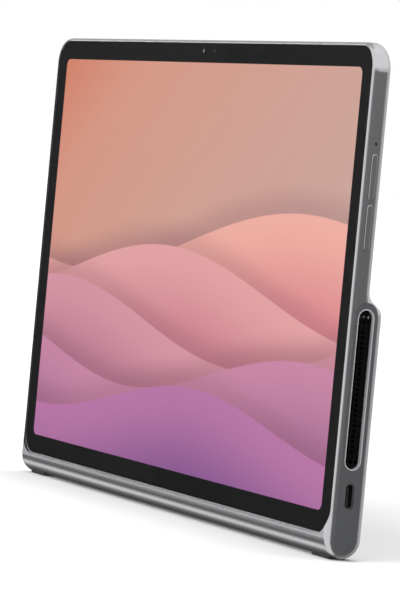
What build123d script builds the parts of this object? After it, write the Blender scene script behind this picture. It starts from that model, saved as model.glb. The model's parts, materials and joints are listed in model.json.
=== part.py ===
from build123d import *
import math
import os

# Landscape tablet computer with a rounded chin bar, side speaker slots and a folding rear kickstand.
# Millimetres: +X to the viewer's right when facing the screen, +Y from the screen to the back, +Z up.
# The origin is on the surface under the feet, at the middle of the body's width and depth.
# The screen faces -Y.

os.makedirs("parts", exist_ok=True)

# ---------------------------------------------------------------- driving dimensions
BODY_W = 268.3
BODY_H = 174.25
BODY_T = 13.58  # across the chin bar and the speaker section
THIN_T = 7.77  # glass to back, above the speaker section
FOOT_DROP = 0.4  # how far the rubber feet stand out under the bar
EDGE_R = 3.0  # rounding of the whole outer edge
CORNER_R = 9.8  # upper corners, seen from the front

GLASS_W, GLASS_H, GLASS_R = 265.8, 165.5, 8.6
SCREEN_W, SCREEN_H, SCREEN_R = 250.5, 150.3, 2.6  # visible picture, 5:3, 292 mm diagonal
GLASS_SINK = 0.43  # glass lies this far behind the front of the chin bar
FIT = 0.1  # assembly clearance

# ---------------------------------------------------------------- places worked out from them
HALF_W = BODY_W / 2
FRONT = -BODY_T / 2
BACK = BODY_T / 2
Z_BOTTOM = FOOT_DROP
Z_TOP = Z_BOTTOM + BODY_H
BAR_R = BODY_T / 2
BAR_Z = Z_BOTTOM + BAR_R  # axis of the chin bar, at y = 0
GLASS_Z = Z_TOP - 0.85 - GLASS_H / 2  # middle of the glass and of the picture
GLASS_Y = FRONT + GLASS_SINK
THIN_BACK = GLASS_Y + THIN_T

WALL_BACK = 1.1
CAVITY_X = HALF_W - 2.55
CAVITY_Z0, CAVITY_Z1, CAVITY_R = 9.5, 172.5, 7.4
THIN_INNER = THIN_BACK - WALL_BACK
THICK_INNER = BACK - 1.2
THICK_Z = 82.5  # top of the full-thickness section
SLOPE = 8.7  # height over which the back steps down to the thin section

# display stack, front to back
GLASS_BACK = GLASS_Y + 0.7
MASK_BACK = GLASS_BACK + 0.12
LCD_BACK = MASK_BACK + 1.25
LIGHT_BACK = LCD_BACK + 1.15
FLOOR_BACK = LIGHT_BACK + 0.8  # mid frame's floor
LEDGE_Y = MASK_BACK + 0.3  # mid frame's ledge, under the gasket
INSIDE = FLOOR_BACK + FIT  # front limit of everything behind the mid frame

# side panels
PANEL_W = 8.4
PANEL_T = 1.6
PANEL_Z0, PANEL_Z1 = BAR_Z - PANEL_W / 2, 87.4
PANEL_X = HALF_W - 0.05 - PANEL_T
SLOT_W, SLOT_Z0, SLOT_Z1 = 6.4, 30.7, 85.3
USB_Z, USB_LONG, USB_THICK = 21.9, 8.94, 3.2
JACK_Z, JACK_R = 9.2, 1.8
TRAY_Z, TRAY_LONG, TRAY_THICK = 21.9, 14.2, 2.0
TRAY_REACH = 20.0

# buttons on the right edge of the thin section
KEY_Y = (FRONT + THIN_BACK) / 2
KEY_LONG, KEY_THICK, KEY_PROUD = 15.5, 2.1, 0.35
POWER_Z, VOLUME_Z = 129.5, 112.5
MIC_Z = 140.7

# kickstand
STAND_W = 150.0
STAND_TOP = 80.0
STAND_T = 3.3
STAND_R = 8.0
STAND_OPEN = 95  # degrees of swing
RECESS_Y = BACK - 3.59
RECESS_GAP = 0.4
AXIS_Y, AXIS_Z = RECESS_Y + 1.85, 9.6
KNUCKLE_R = STAND_T / 2
HINGE_X = 60.0
HINGE_W = 12.0
PIN_R = 0.8
RECESS_X = STAND_W / 2 + RECESS_GAP
SCOOP_R, SCOOP_DEPTH = 13.0, 2.1

# rear camera
CAM_X, CAM_Z = 112.0, 158.0
FLASH_X = CAM_X - 10.5


# ---------------------------------------------------------------- helpers for the part being built
def block(x0, x1, y0, y1, z0, z1, mode=Mode.ADD):
    """A plain block between two opposite corners."""
    with Locations(((x0 + x1) / 2, (y0 + y1) / 2, (z0 + z1) / 2)):
        Box(x1 - x0, y1 - y0, z1 - z0, mode=mode)


def slab(width, z0, z1, radius, y0, y1, x=0.0, mode=Mode.ADD):
    """A plate facing the front with rounded corners, from depth y0 to depth y1."""
    with BuildSketch(Plane.XZ.offset(-y1)) as shape:
        with Locations((x, (z0 + z1) / 2)):
            RectangleRounded(width, z1 - z0, radius)
    extrude(shape.sketch, amount=y1 - y0, mode=mode)


def disc(x, z, radius, y0, y1, mode=Mode.ADD):
    """A round boss or hole along Y."""
    with BuildSketch(Plane.XZ.offset(-y1)) as shape:
        with Locations((x, z)):
            Circle(radius)
    extrude(shape.sketch, amount=y1 - y0, mode=mode)


def side_slot(side, x0, x1, y, z0, z1, width, mode=Mode.ADD):
    """A round-ended bar or slot on the right (side 1) or left (side -1) edge, long along Z."""
    low = min(side * x0, side * x1)
    with BuildSketch(Plane.YZ.offset(low)) as shape:
        with Locations((y, (z0 + z1) / 2)):
            SlotOverall(z1 - z0, width, rotation=90)
    extrude(shape.sketch, amount=abs(x1 - x0), mode=mode)


def side_round(side, x0, x1, y, z, radius, mode=Mode.ADD):
    """A round boss or hole along X on one edge."""
    low = min(side * x0, side * x1)
    with BuildSketch(Plane.YZ.offset(low)) as shape:
        with Locations((y, z)):
            Circle(radius)
    extrude(shape.sketch, amount=abs(x1 - x0), mode=mode)


def side_block(side, x0, x1, y0, y1, z0, z1, mode=Mode.ADD):
    """A block placed by its distance from the middle, on one side."""
    low, high = sorted((side * x0, side * x1))
    block(low, high, y0, y1, z0, z1, mode)


# screws: (x, z) of each group
FRAME_SCREWS = [(side * x, z) for side in (-1, 1) for x, z in
                ((129.4, 91.0), (129.4, 150.0), (90.0, 170.9), (35.0, 170.9), (90.0, 11.15), (30.0, 11.15))]
BOARD_SCREWS = [(24.0, 101.0), (24.0, 162.0), (96.5, 149.5), (124.0, 101.0), (75.0, 131.0)]
SPEAKER_SCREWS = [(side * 79.8, z) for side in (-1, 1) for z in (38.0, 76.0)]
HINGE_SCREWS = [(side * (HINGE_X + dx), AXIS_Z + 9.0) for side in (-1, 1) for dx in (-4.0, 4.0)]
SCREW_R = 0.6
HEAD_R, HEAD_T = 1.1, 0.55


# feet under the chin bar
FOOT_X0, FOOT_X1 = 116.0, 130.0
FOOT_Y, FOOT_Z = 3.3, 2.5

# walls behind the kickstand, and the room inside the chin bar
STAND_WALL_X = RECESS_X + 1.6
STAND_WALL_Y = RECESS_Y - 1.0
BAR_ROOM_Y, BAR_ROOM_Z = 4.0, 3.2

# ---------------------------------------------------------------- rear housing: back, edges and chin bar
with BuildPart() as housing:
    with BuildSketch(Plane.YZ.offset(-HALF_W)):
        with BuildLine():
            Line((FRONT, BAR_Z), (FRONT, Z_TOP))
            Line((FRONT, Z_TOP), (THIN_BACK, Z_TOP))
            Line((THIN_BACK, Z_TOP), (THIN_BACK, THICK_Z + SLOPE))
            Spline((THIN_BACK, THICK_Z + SLOPE), (BACK, THICK_Z), tangents=[(0, -1), (0, -1)])
            Line((BACK, THICK_Z), (BACK, BAR_Z))
            ThreePointArc((BACK, BAR_Z), (0, Z_BOTTOM), (FRONT, BAR_Z))
        make_face()
    extrude(amount=BODY_W)
    # seen from the front, the two upper corners are round
    with BuildSketch(Plane.XZ.offset(-BACK)):
        with BuildLine():
            FilletPolyline(
                (-HALF_W, Z_BOTTOM), (-HALF_W, Z_TOP), (HALF_W, Z_TOP), (HALF_W, Z_BOTTOM), radius=CORNER_R)
            Line((HALF_W, Z_BOTTOM), (-HALF_W, Z_BOTTOM))
        make_face()
    extrude(amount=BODY_T, mode=Mode.INTERSECT)
    rim = housing.edges().filter_by(
        lambda e: not (abs(e.tangent_at(0.5).Y) > 0.999 and e.geom_type == GeomType.LINE)
        and not (abs(e.tangent_at(0.5).X) > 0.999 and e.center().Z < Z_TOP - 0.01))
    fillet(rim, EDGE_R)

    # pocket for the glass, then the room behind it
    slab(GLASS_W + 2 * FIT, GLASS_Z - GLASS_H / 2 - FIT, GLASS_Z + GLASS_H / 2 + FIT, GLASS_R + FIT,
         FRONT - 1, MASK_BACK, mode=Mode.SUBTRACT)
    slab(2 * CAVITY_X, CAVITY_Z0, CAVITY_Z1, CAVITY_R, MASK_BACK - 1, THIN_INNER, mode=Mode.SUBTRACT)
    for side in (-1, 1):
        side_block(side, STAND_WALL_X, CAVITY_X, THIN_INNER - 1, THICK_INNER, CAVITY_Z0, THICK_Z,
                   Mode.SUBTRACT)
        side_block(side, STAND_WALL_X - 1, CAVITY_X, INSIDE, BAR_ROOM_Y, BAR_ROOM_Z, 18, Mode.SUBTRACT)
    block(-STAND_WALL_X, STAND_WALL_X, 0, STAND_WALL_Y, CAVITY_Z0, THICK_Z, Mode.SUBTRACT)
    block(-CAVITY_X, CAVITY_X, -BAR_ROOM_Y, STAND_WALL_Y, BAR_ROOM_Z, CAVITY_Z0 + 1, Mode.SUBTRACT)

    # bosses for the frame screws
    for x, z in FRAME_SCREWS:
        inner = THIN_INNER if z > THICK_Z else (THICK_INNER if abs(x) > STAND_WALL_X else STAND_WALL_Y)
        disc(x, z, 1.5, FLOOR_BACK, inner)
        disc(x, z, SCREW_R + 0.02, FLOOR_BACK, FLOOR_BACK + 2.0, Mode.SUBTRACT)
    for x, z in BOARD_SCREWS:
        disc(x, z, SCREW_R + 0.02, THIN_INNER - 1, THIN_INNER + 0.7, Mode.SUBTRACT)
    for x, z in SPEAKER_SCREWS:
        disc(x, z, SCREW_R + 0.02, THICK_INNER - 1, THICK_INNER + 0.8, Mode.SUBTRACT)

    # recess that the kickstand folds into; its foot slopes so that the stand can swing a little past level
    slab(2 * RECESS_X, AXIS_Z, STAND_TOP + RECESS_GAP, STAND_R + RECESS_GAP, RECESS_Y, BACK + 1,
         mode=Mode.SUBTRACT)
    with BuildSketch(Plane.YZ.offset(-RECESS_X)):
        with BuildLine():
            swing = math.radians(STAND_OPEN)
            reach = KNUCKLE_R + 0.25
            foot = (AXIS_Y + reach * math.cos(swing), AXIS_Z - reach * math.sin(swing))
            Polyline((RECESS_Y, AXIS_Z + 20), (RECESS_Y, AXIS_Z - 0.9), foot,
                     (foot[0] + 4 * math.sin(swing), foot[1] + 4 * math.cos(swing)), (BACK + 1, AXIS_Z + 20),
                     (RECESS_Y, AXIS_Z + 20))
        make_face()
    extrude(amount=2 * RECESS_X, mode=Mode.SUBTRACT)
    for x, z in HINGE_SCREWS:
        disc(x, z, SCREW_R + 0.02, RECESS_Y - 0.8, RECESS_Y + 1, Mode.SUBTRACT)
    # scoop for a fingertip behind the stand's free edge
    disc(0, STAND_TOP - 9, SCOOP_R, BACK - SCOOP_DEPTH, BACK + 1, Mode.SUBTRACT)

    # side panels, grilles and what passes through the walls
    for side in (-1, 1):
        side_slot(side, PANEL_X, HALF_W + 1, 0, PANEL_Z0 - FIT / 2, PANEL_Z1 + FIT / 2, PANEL_W + FIT,
                  Mode.SUBTRACT)
        side_slot(side, PANEL_X - 0.5, PANEL_X, 0, SLOT_Z0 - 1.5, SLOT_Z1 + 1.5, SLOT_W + 1.2, Mode.SUBTRACT)
        side_slot(side, CAVITY_X - 1, PANEL_X, 0, SLOT_Z0 + 1, SLOT_Z1 - 3, 5.0, Mode.SUBTRACT)
    side_slot(1, CAVITY_X - 1, HALF_W, 0, USB_Z - 4.6, USB_Z + 4.6, 3.5, Mode.SUBTRACT)
    side_round(-1, CAVITY_X - 1, HALF_W, 0, JACK_Z, 2.55, Mode.SUBTRACT)
    side_slot(-1, CAVITY_X - 1, HALF_W, 0, TRAY_Z - 6.4, TRAY_Z + 6.4, 1.8, Mode.SUBTRACT)

    # holes for the two keys and the microphones
    for z in (POWER_Z, VOLUME_Z):
        side_slot(1, CAVITY_X - 1, HALF_W + 1, KEY_Y, z - KEY_LONG / 2 - FIT, z + KEY_LONG / 2 + FIT,
                  KEY_THICK + 2 * FIT, Mode.SUBTRACT)
    side_round(1, CAVITY_X - 1, HALF_W + 1, KEY_Y, MIC_Z, 0.5, Mode.SUBTRACT)
    with Locations((-30, -1.6, Z_TOP)):
        Cylinder(0.5, 6, mode=Mode.SUBTRACT)

    # opening for the rear camera window
    with BuildSketch(Plane.XZ.offset(-(THIN_BACK + 1))):
        with Locations(((CAM_X + FLASH_X) / 2, CAM_Z)):
            SlotOverall(22.2, 11.2)
    extrude(amount=4, mode=Mode.SUBTRACT)

    # pockets for the feet
    for side in (-1, 1):
        side_block(side, FOOT_X0, FOOT_X1, -FOOT_Y, FOOT_Y, Z_BOTTOM - 1, FOOT_Z, Mode.SUBTRACT)
housing.part.label = "rear_housing"
export_step(housing.part, "parts/rear_housing.step")

with BuildPart() as feet:
    for side in (-1, 1):
        side_block(side, FOOT_X0 + 0.05, FOOT_X1 - 0.05, -FOOT_Y + 0.05, FOOT_Y - 0.05, 0, FOOT_Z)
    fillet(feet.edges().filter_by(Axis.Z), 1.2)
    fillet(feet.edges().group_by(Axis.Z)[0], 0.3)
feet.part.label = "rubber_feet"
export_step(feet.part, "parts/rubber_feet.step")

# ---------------------------------------------------------------- display stack
with BuildPart() as glass:
    slab(GLASS_W, GLASS_Z - GLASS_H / 2, GLASS_Z + GLASS_H / 2, GLASS_R, GLASS_Y, GLASS_BACK)
    fillet(glass.edges().group_by(Axis.Y)[0], 0.22)
glass.part.label = "cover_glass"
export_step(glass.part, "parts/cover_glass.step")

FRONT_CAM_Z = GLASS_Z + 79.53
SENSOR_X = 9.0
with BuildPart() as mask:
    slab(GLASS_W - 1.0, GLASS_Z - GLASS_H / 2 + 0.5, GLASS_Z + GLASS_H / 2 - 0.5, GLASS_R - 0.5,
         GLASS_BACK, MASK_BACK)
    slab(SCREEN_W, GLASS_Z - SCREEN_H / 2, GLASS_Z + SCREEN_H / 2, SCREEN_R, GLASS_BACK, MASK_BACK,
         mode=Mode.SUBTRACT)
    disc(0, FRONT_CAM_Z, 1.15, GLASS_BACK, MASK_BACK, Mode.SUBTRACT)
    disc(SENSOR_X, FRONT_CAM_Z, 0.6, GLASS_BACK, MASK_BACK, Mode.SUBTRACT)
mask.part.label = "border_mask"
export_step(mask.part, "parts/border_mask.step")

LCD_W, LCD_H = SCREEN_W + 3.9, SCREEN_H + 4.6
with BuildPart() as lcd:
    slab(LCD_W, GLASS_Z - LCD_H / 2, GLASS_Z + LCD_H / 2, 1.5, MASK_BACK, LCD_BACK)
lcd.part.label = "lcd_panel"
export_step(lcd.part, "parts/lcd_panel.step")

with BuildPart() as backlight:
    slab(LCD_W, GLASS_Z - LCD_H / 2, GLASS_Z + LCD_H / 2, 1.5, LCD_BACK, LIGHT_BACK)
    slab(LCD_W - 16, GLASS_Z - LCD_H / 2 + 8, GLASS_Z + LCD_H / 2 - 8, 2, LIGHT_BACK - 0.3, LIGHT_BACK,
         mode=Mode.SUBTRACT)
backlight.part.label = "backlight_unit"
export_step(backlight.part, "parts/backlight_unit.step")

FRAME_X, FRAME_Z0, FRAME_Z1 = CAVITY_X - 0.2, CAVITY_Z0 + 0.2, CAVITY_Z1 - 0.2
with BuildPart() as gasket:
    slab(2 * FRAME_X - 0.4, FRAME_Z0 + 0.2, FRAME_Z1 - 0.2, 7, MASK_BACK, LEDGE_Y)
    slab(2 * FRAME_X - 5.6, FRAME_Z0 + 2.8, FRAME_Z1 - 2.8, 4.4, MASK_BACK, LEDGE_Y, mode=Mode.SUBTRACT)
    block(-2.4, SENSOR_X + 2, MASK_BACK, LEDGE_Y, FRAME_Z1 - 4, FRAME_Z1, Mode.SUBTRACT)
gasket.part.label = "display_gasket"
export_step(gasket.part, "parts/display_gasket.step")

KEY_NOTCH = (102.0, 143.5)
with BuildPart() as frame:
    slab(2 * FRAME_X, FRAME_Z0, FRAME_Z1, 7.2, LEDGE_Y, FLOOR_BACK)
    slab(2 * FRAME_X - 6.0, FRAME_Z0 + 2.9, FRAME_Z1 - 2.8, 4.2, LEDGE_Y, LIGHT_BACK, mode=Mode.SUBTRACT)
    # windows that save weight and pass the display cable
    for x in (-96, -48, 0, 48, 96):
        slab(38, 22, 74, 4, LIGHT_BACK, FLOOR_BACK, x=x, mode=Mode.SUBTRACT)
    slab(30, 88.5, 92.5, 1.5, LIGHT_BACK, FLOOR_BACK, x=55, mode=Mode.SUBTRACT)
    # notches for the keys, the right microphone, the front camera and its sensor
    block(128.5, FRAME_X + 1, LEDGE_Y, FLOOR_BACK, *KEY_NOTCH, Mode.SUBTRACT)
    block(-2.4, SENSOR_X + 2, LEDGE_Y, FLOOR_BACK, FRAME_Z1 - 3.7, FRAME_Z1, Mode.SUBTRACT)
    for x, z in FRAME_SCREWS:
        disc(x, z, SCREW_R + 0.08, LEDGE_Y, FLOOR_BACK, Mode.SUBTRACT)
        disc(x, z, HEAD_R + 0.08, LEDGE_Y, LEDGE_Y + HEAD_T + 0.05, Mode.SUBTRACT)
frame.part.label = "mid_frame"
export_step(frame.part, "parts/mid_frame.step")

# ---------------------------------------------------------------- cameras, sensor, microphones
with BuildPart() as front_camera:
    disc(0, FRONT_CAM_Z, 1.6, MASK_BACK, INSIDE)
    block(-3.2, 3.2, INSIDE, INSIDE + 1.5, FRONT_CAM_Z - 4.6, FRONT_CAM_Z + 1.6)
    with BuildSketch(Plane.XZ.offset(-MASK_BACK)):
        with Locations((0, FRONT_CAM_Z)):
            Circle(1.2)
    extrude(amount=-0.35, taper=45, mode=Mode.SUBTRACT)
front_camera.part.label = "front_camera"
export_step(front_camera.part, "parts/front_camera.step")

with BuildPart() as sensor:
    block(SENSOR_X - 1.2, SENSOR_X + 1.2, MASK_BACK, MASK_BACK + 0.9, FRONT_CAM_Z - 0.9, FRONT_CAM_Z + 0.9)
sensor.part.label = "light_sensor"
export_step(sensor.part, "parts/light_sensor.step")

with BuildPart() as microphones:
    block(CAVITY_X - 1.1, CAVITY_X, KEY_Y - 1.3, KEY_Y + 1.3, MIC_Z - 1.75, MIC_Z + 1.75)
    side_round(1, CAVITY_X - 0.5, CAVITY_X, KEY_Y, MIC_Z, 0.4, Mode.SUBTRACT)
    block(-31.75, -28.25, INSIDE, INSIDE + 1.5, CAVITY_Z1 - 1.1, CAVITY_Z1)
    block(-30.2, -29.8, -1.7, -1.5, CAVITY_Z1 - 0.4, CAVITY_Z1, Mode.SUBTRACT)
microphones.part.label = "microphones"
export_step(microphones.part, "parts/microphones.step")

with BuildPart() as camera_module:
    block(CAM_X - 4.6, CAM_X + 4.6, INSIDE, INSIDE + 2.2, CAM_Z - 4.6, CAM_Z + 4.6)
    disc(CAM_X, CAM_Z, 3.2, INSIDE + 2.2, THIN_BACK + 0.5)
    disc(CAM_X, CAM_Z, 1.5, THIN_BACK, THIN_BACK + 0.5, Mode.SUBTRACT)
camera_module.part.label = "rear_camera_module"
export_step(camera_module.part, "parts/rear_camera_module.step")

BEZEL_BACK = THIN_BACK + 1.25
with BuildPart() as camera_bezel:
    with BuildSketch(Plane.XZ.offset(-BEZEL_BACK)):
        with Locations(((CAM_X + FLASH_X) / 2, CAM_Z)):
            SlotOverall(22.0, 11.0)
    extrude(amount=BEZEL_BACK - THIN_INNER)
    fillet(camera_bezel.edges().group_by(Axis.Y)[-1], 0.6)
    disc(CAM_X, CAM_Z, 3.8, THIN_INNER, BEZEL_BACK, Mode.SUBTRACT)
    disc(CAM_X, CAM_Z, 4.2, BEZEL_BACK - 0.55, BEZEL_BACK, Mode.SUBTRACT)
    disc(FLASH_X, CAM_Z, 1.7, THIN_INNER, BEZEL_BACK, Mode.SUBTRACT)
camera_bezel.part.label = "rear_camera_bezel"
export_step(camera_bezel.part, "parts/rear_camera_bezel.step")

with BuildPart() as camera_glass:
    disc(CAM_X, CAM_Z, 4.15, BEZEL_BACK - 0.55, BEZEL_BACK - 0.05)
camera_glass.part.label = "rear_camera_glass"
export_step(camera_glass.part, "parts/rear_camera_glass.step")

with BuildPart() as flash:
    disc(FLASH_X, CAM_Z, 1.65, THIN_INNER + 0.2, BEZEL_BACK - 0.1)
    fillet(flash.edges().group_by(Axis.Y)[-1], 0.25)
flash.part.label = "flash_lens"
export_step(flash.part, "parts/flash_lens.step")

# ---------------------------------------------------------------- side panels, grilles, bright slot linings
TRIM_T = 0.4
for side, name in ((-1, "left"), (1, "right")):
    with BuildPart() as panel:
        side_slot(side, PANEL_X, PANEL_X + PANEL_T, 0, PANEL_Z0, PANEL_Z1, PANEL_W)
        side_slot(side, PANEL_X, PANEL_X + PANEL_T, 0, SLOT_Z0, SLOT_Z1, SLOT_W, Mode.SUBTRACT)
        if side > 0:
            half = USB_LONG / 2 + FIT
            side_slot(side, PANEL_X, PANEL_X + PANEL_T, 0, USB_Z - half, USB_Z + half, USB_THICK + 2 * FIT,
                      Mode.SUBTRACT)
        else:
            half = TRAY_LONG / 2 + FIT
            side_round(side, PANEL_X, PANEL_X + PANEL_T, 0, JACK_Z, 2.55, Mode.SUBTRACT)
            side_slot(side, PANEL_X, PANEL_X + PANEL_T, 0, TRAY_Z - half, TRAY_Z + half, TRAY_THICK + 2 * FIT,
                      Mode.SUBTRACT)
    panel.part.label = f"side_panel_{name}"
    export_step(panel.part, f"parts/side_panel_{name}.step")

    with BuildPart() as trim:
        side_slot(side, PANEL_X, PANEL_X + PANEL_T - 0.1, 0, SLOT_Z0 + 0.02, SLOT_Z1 - 0.02, SLOT_W - 0.04)
        side_slot(side, PANEL_X, PANEL_X + PANEL_T, 0, SLOT_Z0 + TRIM_T, SLOT_Z1 - TRIM_T,
                  SLOT_W - 2 * TRIM_T, Mode.SUBTRACT)
    trim.part.label = f"slot_trim_{name}"
    export_step(trim.part, f"parts/slot_trim_{name}.step")

    with BuildPart() as grille:
        side_slot(side, PANEL_X - 0.45, PANEL_X, 0, SLOT_Z0 - 1.4, SLOT_Z1 + 1.4, SLOT_W + 1.0)
        low = min(side * (PANEL_X - 0.45), side * PANEL_X)
        with BuildSketch(Plane.YZ.offset(low)):
            with Locations((0, (SLOT_Z0 + SLOT_Z1) / 2)):
                with GridLocations(1.75, 1.75, 3, 29):
                    Circle(0.6)
        extrude(amount=0.45, mode=Mode.SUBTRACT)
    grille.part.label = f"speaker_grille_{name}"
    export_step(grille.part, f"parts/speaker_grille_{name}.step")

# ---------------------------------------------------------------- speakers
BOX_X0, BOX_X1, BOX_Z0, BOX_Z1 = 82.0, 127.0, 32.0, 82.3
BOX_FRONT, BOX_BACK = INSIDE, THICK_INNER - FIT
WOOFER_X, WOOFER_Z = 93.5, (45.0, 69.8)
TWEETER_X, TWEETER_Z = 115.0, (45.0, 69.8)
for side, name in ((-1, "left"), (1, "right")):
    with BuildPart() as speaker_box:
        side_block(side, BOX_X0, BOX_X1, BOX_FRONT + 1, BOX_BACK, BOX_Z0, BOX_Z1)
        fillet(speaker_box.edges().filter_by(Axis.Y), 2.0)
        side_block(side, BOX_X0 + 1, BOX_X1 - 1, BOX_FRONT + 1, BOX_BACK - 1, BOX_Z0 + 1, BOX_Z1 - 1,
                   Mode.SUBTRACT)
        side_block(side, BOX_X1 - 1, BOX_X1, -1.2, 1.8, SLOT_Z0 + 5, SLOT_Z1 - 7, Mode.SUBTRACT)
        for x, z in SPEAKER_SCREWS:
            if x * side > 0:
                side_block(side, abs(x) - 1.8, BOX_X0, BOX_BACK - 0.6, BOX_BACK, z - 2.5, z + 2.5)
                disc(x, z, SCREW_R + 0.08, BOX_BACK - 0.6, BOX_BACK, Mode.SUBTRACT)
    speaker_box.part.label = f"speaker_box_{name}"
    export_step(speaker_box.part, f"parts/speaker_box_{name}.step")

    with BuildPart() as baffle:
        side_block(side, BOX_X0, BOX_X1, BOX_FRONT, BOX_FRONT + 1, BOX_Z0, BOX_Z1)
        fillet(baffle.edges().filter_by(Axis.Y), 2.0)
        for z in WOOFER_Z:
            disc(side * WOOFER_X, z, 9.0, BOX_FRONT, BOX_FRONT + 1, Mode.SUBTRACT)
        for z in TWEETER_Z:
            disc(side * TWEETER_X, z, 5.0, BOX_FRONT, BOX_FRONT + 1, Mode.SUBTRACT)
    baffle.part.label = f"speaker_baffle_{name}"
    export_step(baffle.part, f"parts/speaker_baffle_{name}.step")

    for z, level in zip(WOOFER_Z, ("lower", "upper")):
        with BuildPart() as woofer:
            with BuildSketch(Plane.XY):
                with BuildLine():
                    # dome, cone, rolled surround, basket rim, basket and magnet
                    Polyline((0, 0.9), (2.6, 0.9), (6.9, 0.3), (7.6, 0), (8.4, 0), (8.8, 0.35), (9.9, 0.35),
                             (9.9, 1.1), (8.6, 1.3), (6, 3), (5.6, 5), (0, 5), (0, 0.9))
                make_face()
            revolve(axis=Axis.Y)
        placed = woofer.part.moved(Location((side * WOOFER_X, BOX_FRONT + 1, z)))
        placed.label = f"woofer_{name}_{level}"
        export_step(placed, f"parts/{placed.label}.step")

    with BuildPart() as tweeters:
        for z in TWEETER_Z:
            disc(side * TWEETER_X, z, 5.9, BOX_FRONT + 1, BOX_FRONT + 2.2)
            disc(side * TWEETER_X, z, 4.2, BOX_FRONT + 2.2, BOX_FRONT + 4)
            disc(side * TWEETER_X, z, 4.6, BOX_FRONT + 1, BOX_FRONT + 1.3, Mode.SUBTRACT)
            disc(side * TWEETER_X, z, 2.6, BOX_FRONT + 1.05, BOX_FRONT + 1.3)
    tweeters.part.label = f"tweeters_{name}"
    export_step(tweeters.part, f"parts/tweeters_{name}.step")

with BuildPart() as port_gaskets:
    for side in (-1, 1):
        side_block(side, BOX_X1, CAVITY_X, -2.2, 2.8, SLOT_Z0 + 3.5, SLOT_Z1 - 5.5)
        side_block(side, BOX_X1, CAVITY_X, -1.2, 1.8, SLOT_Z0 + 5, SLOT_Z1 - 7, Mode.SUBTRACT)
port_gaskets.part.label = "speaker_gaskets"
export_step(port_gaskets.part, "parts/speaker_gaskets.step")

# ---------------------------------------------------------------- batteries
CELL_FRONT, CELL_BACK = INSIDE, STAND_WALL_Y - 0.2
for name, x0, x1 in (("left", -73.2, -0.8), ("right", 0.8, 73.2)):
    with BuildPart() as cell:
        block(x0, x1, CELL_FRONT, CELL_BACK, 14.0, 81.5)
        fillet(cell.edges().filter_by(Axis.Z), 1.6)
        block(x0 + 18, x0 + 30, CELL_FRONT + 0.9, CELL_FRONT + 2.3, 81.5, 84.5)
    cell.part.label = f"battery_cell_{name}"
    export_step(cell.part, f"parts/battery_cell_{name}.step")

with BuildPart() as upper_cell:
    block(-126.5, 14.0, INSIDE, THIN_INNER - 0.1, 97.0, 165.0)
    fillet(upper_cell.edges().filter_by(Axis.Z), 0.9)
    block(-2.0, 8.0, INSIDE + 0.6, INSIDE + 1.4, 94.5, 97.0)
upper_cell.part.label = "battery_cell_upper"
export_step(upper_cell.part, "parts/battery_cell_upper.step")

# ---------------------------------------------------------------- boards, shields and sockets
BOARD_FRONT, BOARD_BACK = THIN_INNER - 0.9, THIN_INNER - 0.1
with BuildPart() as board:
    block(20, 127.5, BOARD_FRONT, BOARD_BACK, 97, 147)
    block(20, 100, BOARD_FRONT, BOARD_BACK, 147, 166)
    for x, z in BOARD_SCREWS:
        disc(x, z, SCREW_R + 0.08, BOARD_FRONT, BOARD_BACK, Mode.SUBTRACT)
    # small components on the front face
    for x, z, w, h in ((113, 104, 9, 5), (113, 112, 9, 6), (90, 100.5, 20, 3), (30, 151, 10, 12),
                       (119, 130, 8, 22)):
        block(x - w / 2, x + w / 2, BOARD_FRONT - 0.7, BOARD_FRONT, z - h / 2, z + h / 2)
board.part.label = "main_board"
export_step(board.part, "parts/main_board.step")

with BuildPart() as shields:
    for x0, x1, z0, z1 in ((42, 72, 105, 128), (78, 106, 105, 142), (42, 70, 134, 163), (73, 94, 146, 158)):
        block(x0, x1, BOARD_FRONT - 1.25, BOARD_FRONT, z0, z1)
        block(x0 + 0.3, x1 - 0.3, BOARD_FRONT - 0.95, BOARD_FRONT, z0 + 0.3, z1 - 0.3, Mode.SUBTRACT)
shields.part.label = "shield_cans"
export_step(shields.part, "parts/shield_cans.step")

with BuildPart() as usb_board:
    block(112, 130.5, INSIDE, INSIDE + 0.6, 12.8, 30.5)
    block(113, 117, INSIDE + 0.6, INSIDE + 1.6, 14, 22)
usb_board.part.label = "usb_board"
export_step(usb_board.part, "parts/usb_board.step")

USB_WALL = 0.3
USB_BACK_X, USB_MOUTH_X = 126.0, HALF_W - 0.6
with BuildPart() as usb_shell:
    half = USB_LONG / 2
    side_slot(1, USB_BACK_X, USB_MOUTH_X, 0, USB_Z - half, USB_Z + half, USB_THICK)
    side_slot(1, USB_BACK_X + 0.4, USB_MOUTH_X, 0, USB_Z - half + USB_WALL, USB_Z + half - USB_WALL,
              USB_THICK - 2 * USB_WALL, Mode.SUBTRACT)
usb_shell.part.label = "usb_shell"
export_step(usb_shell.part, "parts/usb_shell.step")

TONGUE_T, TONGUE_LONG = 0.7, 6.7
with BuildPart() as usb_tongue:
    block(USB_BACK_X + 0.4, USB_MOUTH_X - 1.0, -TONGUE_T / 2, TONGUE_T / 2,
          USB_Z - TONGUE_LONG / 2, USB_Z + TONGUE_LONG / 2)
usb_tongue.part.label = "usb_tongue"
export_step(usb_tongue.part, "parts/usb_tongue.step")

with BuildPart() as jack:
    block(-CAVITY_X + 0.1, -116, INSIDE, 3.2, JACK_Z - 2.9, JACK_Z + 2.9)
    side_round(-1, CAVITY_X - 1, HALF_W - 0.15, 0, JACK_Z, 2.5)
    side_round(-1, HALF_W - 14.5, HALF_W, 0, JACK_Z, JACK_R, Mode.SUBTRACT)
jack.part.label = "audio_jack"
export_step(jack.part, "parts/audio_jack.step")

with BuildPart() as card_board:
    block(-130.5, -110, INSIDE, INSIDE + 0.6, 12.9, 30.5)
card_board.part.label = "card_board"
export_step(card_board.part, "parts/card_board.step")

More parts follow.
